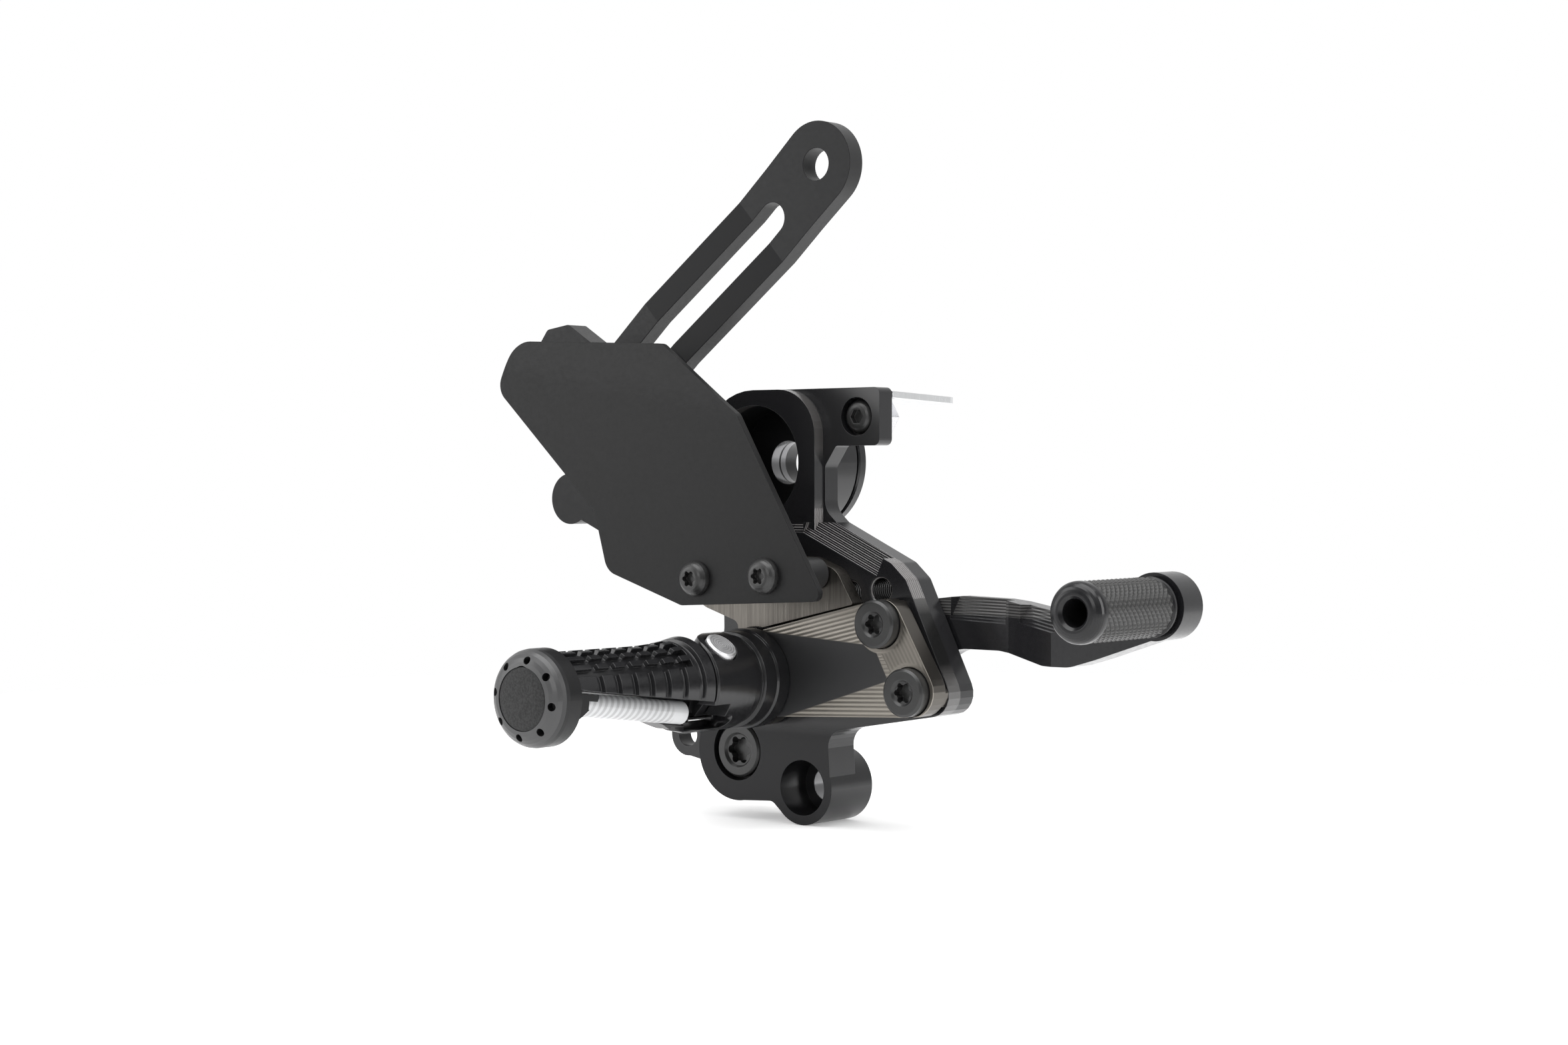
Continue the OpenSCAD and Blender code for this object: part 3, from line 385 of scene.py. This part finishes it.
def peg_black():
    s = anodised("peg_black", (0.013, 0.013, 0.014), 0.22, edge=0.25)
    s.shine(s.ramp(s.x, 95, 96, 0.5, 0.3))
    return s


def knurl_black():
    """Black knurl with painted highlights on its tips."""
    s = Surface("knurl_black")
    tip_highlight = s.ramp(s.radius(TOE_PEG_AT), 7.9, 8.4)
    # Painted highlight: the knurl tips are painted lighter (0.048) than the valleys (0.005).
    s.colour(s.mix(tip_highlight, (0.005, 0.005, 0.005), (0.048, 0.047, 0.046)))
    s.rough(0.34)
    s.shine(0.4)
    return s


def pin_silver():
    """Bright metal with turned rings about the pin's own axis."""
    s = metal("pin_silver", (0.85, 0.85, 0.86), 0.5, edge=0.3)
    offset = s.vector("SUBTRACT", s.here, tuple(part * MM for part in PIN_AT))
    axis = (math.sin(PIN_LEAN), 0, math.cos(PIN_LEAN))
    from_axis = s.vector("LENGTH", s.vector("CROSS_PRODUCT", offset, axis))
    turned = s.wave(s.math("MULTIPLY", from_axis, 1000.0), 0.8)
    s.colour(s.mix(turned, (0.62, 0.62, 0.63), (0.9, 0.9, 0.91)))
    s.bump(turned, 0.00003)
    return s


def sleeve_clear():
    """Clear sleeve that shows the coils as leaning rings, bare at its inner end."""
    s = Surface("sleeve_clear")
    along = s.math("MULTIPLY_ADD", s.z, -0.6, s.y)
    low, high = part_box("spring_sleeve")
    inner_end = high[1] / MM
    bare = s.ramp(s.y, inner_end - 7.5, inner_end - 6)
    coils = s.any_of(s.ramp(s.wave(along, 2.55), 0.3, 0.7), bare)
    s.colour(s.mix(coils, (0.56, 0.56, 0.57), (0.80, 0.81, 0.82)))
    s.rough(0.2)
    s.shine(0.7)
    s.put(s.bsdf.inputs["Alpha"], 0.72)
    return s


def knob_plastic():
    s = anodised("knob_plastic", (0.026, 0.026, 0.027), 0.34, edge=0.2, grain=0.00001)
    rim = s.facing(0.1, 0.6)
    s.colour(s.mix(rim, (0.010, 0.010, 0.0105), (0.046, 0.046, 0.047)))
    s.shine(s.blend(rim, 0.22, 0.45))
    return s


def insert_plastic():
    """Grained plastic."""
    s = Surface("insert_plastic")
    grain = s.noise(1500, rough=0.7)
    s.colour(s.mix(s.ramp(grain, 0.38, 0.62), (0.001, 0.001, 0.001), (0.016, 0.016, 0.0165)))
    s.rough(0.5)
    s.shine(0.3)
    s.bump(grain, 0.00012)
    return s


def lever_black():
    """Black lever with painted highlights along the cutter lines on its upper bevel."""
    s = anodised("lever_black", LEVER_BLACK, 0.22, edge=0.12, shine=0.4)
    ridged = s.all_of(s.box((28, 53), (92, 62)), s.facing(0.1, 0.3))
    # Painted highlights: the cutter lines on the bevel are painted lighter (0.085) than between them (0.014).
    ridge_highlights = s.all_of(s.wave(s.z, 0.85), ridged)
    bevel = s.mix(ridge_highlights, (0.014, 0.014, 0.014), (0.085, 0.083, 0.082))
    s.colour(s.mix(ridged, LEVER_BLACK, bevel))
    return s


surfaces = [
    plate_black(),
    metal("strip_silver", (0.86, 0.87, 0.88), 0.22, (1, 30, 1), 260),
    anodised("screw_black", (0.016, 0.016, 0.016), 0.36, edge=0.3, grain=0.00001),
    metal("steel_zinc", (0.62, 0.62, 0.64), 0.3),
    arm_black(),
    anodised("guard_black", (0.006, 0.006, 0.0063), 0.42, edge=0.25, grain=0.00001, shine=0.2),
    bracket_bronze(),
    carrier_bronze(),
    peg_black(),
    knurl_black(),
    pin_silver(),
    metal("spring_steel", (0.75, 0.75, 0.75), 0.2, edge=0.05),
    sleeve_clear(),
    knob_plastic(),
    insert_plastic(),
    lever_black(),
    metal("bush_bronze", (0.62, 0.46, 0.24), 0.3),
]
mats = {s.name: s.material for s in surfaces}

for part in frame["record"]["subparts"]:
    shown = frame["nodes"][part["node"]]
    shown.data.materials.clear()
    shown.data.materials.append(mats[part["material_slot"]])


# ---------------------------------------------------------------- knurl
def knurl():
    """Diamond pyramids round the toe peg's band, drawn in the rest position."""
    low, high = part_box("toe_peg")
    cx, cz = (low[0] + high[0]) / 2, (low[2] + high[2]) / 2
    y0, y1 = high[1] - 1.9 * MM, low[1] + 4.5 * MM
    peak, valley = 8.39 * MM, 7.84 * MM
    around, rows = 46, 30
    verts, faces = [], []
    for j in range(rows + 1):
        for i in range(around):
            a = 2 * math.pi * i / around
            top = (i + j) % 2 == 0 and 0 < j < rows
            r = peak if top else valley
            verts.append((cx + r * math.cos(a), y0 + (y1 - y0) * j / rows, cz + r * math.sin(a)))
    for j in range(rows):
        for i in range(around):
            k = (i + 1) % around
            a, b = j * around + i, j * around + k
            c, d = b + around, a + around
            if (i + j) % 2 == 0:
                faces += [(a, d, b), (b, d, c)]
            else:
                faces += [(a, c, b), (a, d, c)]
    mesh = bpy.data.meshes.new("knurl")
    mesh.from_pydata(verts, [], faces)
    mesh.materials.append(mats["knurl_black"])
    ob = bpy.data.objects.new("knurl", mesh)
    bpy.context.collection.objects.link(ob)
    return ob


band = knurl()
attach(band, "brake_pedal")


# ---------------------------------------------------------------- stage
def floor_material():
    """White floor that takes a soft shadow near the part and glows plain white farther out."""
    material = bpy.data.materials.new("floor_white")
    n = Nodes(material)
    path = n.add("ShaderNodeLightPath").outputs
    seen = n.math("MAXIMUM", path["Is Camera Ray"], path["Is Glossy Ray"])
    glow = n.add("ShaderNodeEmission")
    n.put(glow.inputs["Strength"], n.math("MULTIPLY", seen, FLOOR_GLOW))
    plain = n.add("ShaderNodeBsdfDiffuse")
    plain.inputs["Color"].default_value = (FLOOR_TONE, FLOOR_TONE, FLOOR_TONE, 1)
    near = n.add("ShaderNodeAddShader")
    n.put(near.inputs[0], glow.outputs[0])
    n.put(near.inputs[1], plain.outputs[0])
    far = n.add("ShaderNodeEmission")
    far.inputs["Strength"].default_value = 1.0
    away = n.vector("LENGTH", n.add("ShaderNodeTexCoord").outputs["Object"])
    mix = n.add("ShaderNodeMixShader")
    n.put(mix.inputs[0], n.ramp(away, *FLOOR_FADE))
    n.put(mix.inputs[1], near.outputs[0])
    n.put(mix.inputs[2], far.outputs[0])
    n.put(n.add("ShaderNodeOutputMaterial").inputs[0], mix.outputs[0])
    return material


def white_room():
    """World that the camera sees white, while the part sees a darker room, bright behind and above."""
    world = bpy.data.worlds.new("white_room")
    n = Nodes(world)
    path = n.add("ShaderNodeLightPath").outputs
    seen = n.math("MAXIMUM", path["Is Camera Ray"], path["Is Transmission Ray"])
    toward = n.add("ShaderNodeTexCoord").outputs["Generated"]
    behind = n.ramp(n.vector("DOT_PRODUCT", toward, (-0.62, 0.75, -0.22)), -0.15, 0.35, 0.10, 0.9)
    above = n.ramp(n.split(toward)[2], 0.2, 0.85, 0.0, 0.7)
    lit = n.math("MAXIMUM", above, behind)
    back = n.add("ShaderNodeBackground")
    back.inputs["Color"].default_value = (1, 1, 1, 1)
    n.put(back.inputs["Strength"], n.math("MAXIMUM", seen, lit))
    n.put(n.add("ShaderNodeOutputWorld").inputs[0], back.outputs[0])
    return world


def aim(ob, direction):
    ob.rotation_euler = direction.to_track_quat("-Z", "Y").to_euler()


def lamp(name, at, target, size, energy):
    """Rectangular lamp, places and size in metres, energy in watts."""
    data = bpy.data.lights.new(name, "AREA")
    data.shape = "RECTANGLE"
    data.size, data.size_y = size
    data.energy = energy
    ob = bpy.data.objects.new(name, data)
    bpy.context.collection.objects.link(ob)
    ob.location = at
    aim(ob, Vector(target) - Vector(at))


def camera():
    data = bpy.data.cameras.new("camera")
    data.sensor_width = SENSOR_WIDTH
    data.lens = CAMERA_LENS
    ob = bpy.data.objects.new("camera", data)
    bpy.context.collection.objects.link(ob)
    ob.location = CAMERA_AT
    level = math.cos(CAMERA_ELEVATION)
    aim(ob, Vector((
        -math.sin(CAMERA_AZIMUTH) * level, math.cos(CAMERA_AZIMUTH) * level, -math.sin(CAMERA_ELEVATION))))
    return ob


bpy.ops.mesh.primitive_circle_add(
    vertices=96, radius=FLOOR_RADIUS, fill_type="NGON", location=(0, 0, -FLOOR_UNDER * MM))
floor = bpy.context.object
floor.name = "floor"
floor.data.materials.append(floor_material())

scene = bpy.context.scene
scene.world = white_room()
lamp("top", (0.1, -0.25, 1.1), (0, 0, 0.08), (1.3, 0.9), 14)
lamp("left", (-0.75, -0.75, 0.45), (0, -0.03, 0.07), (0.5, 0.9), 5)
lamp("right", (0.9, 0.1, 0.35), (0, 0, 0.07), (0.3, 0.9), 5)
lamp("front", (0.35, -1.1, 0.5), (0, 0, 0.07), (0.6, 0.5), 3.2)
scene.camera = camera()
scene.view_settings.view_transform = "Standard"
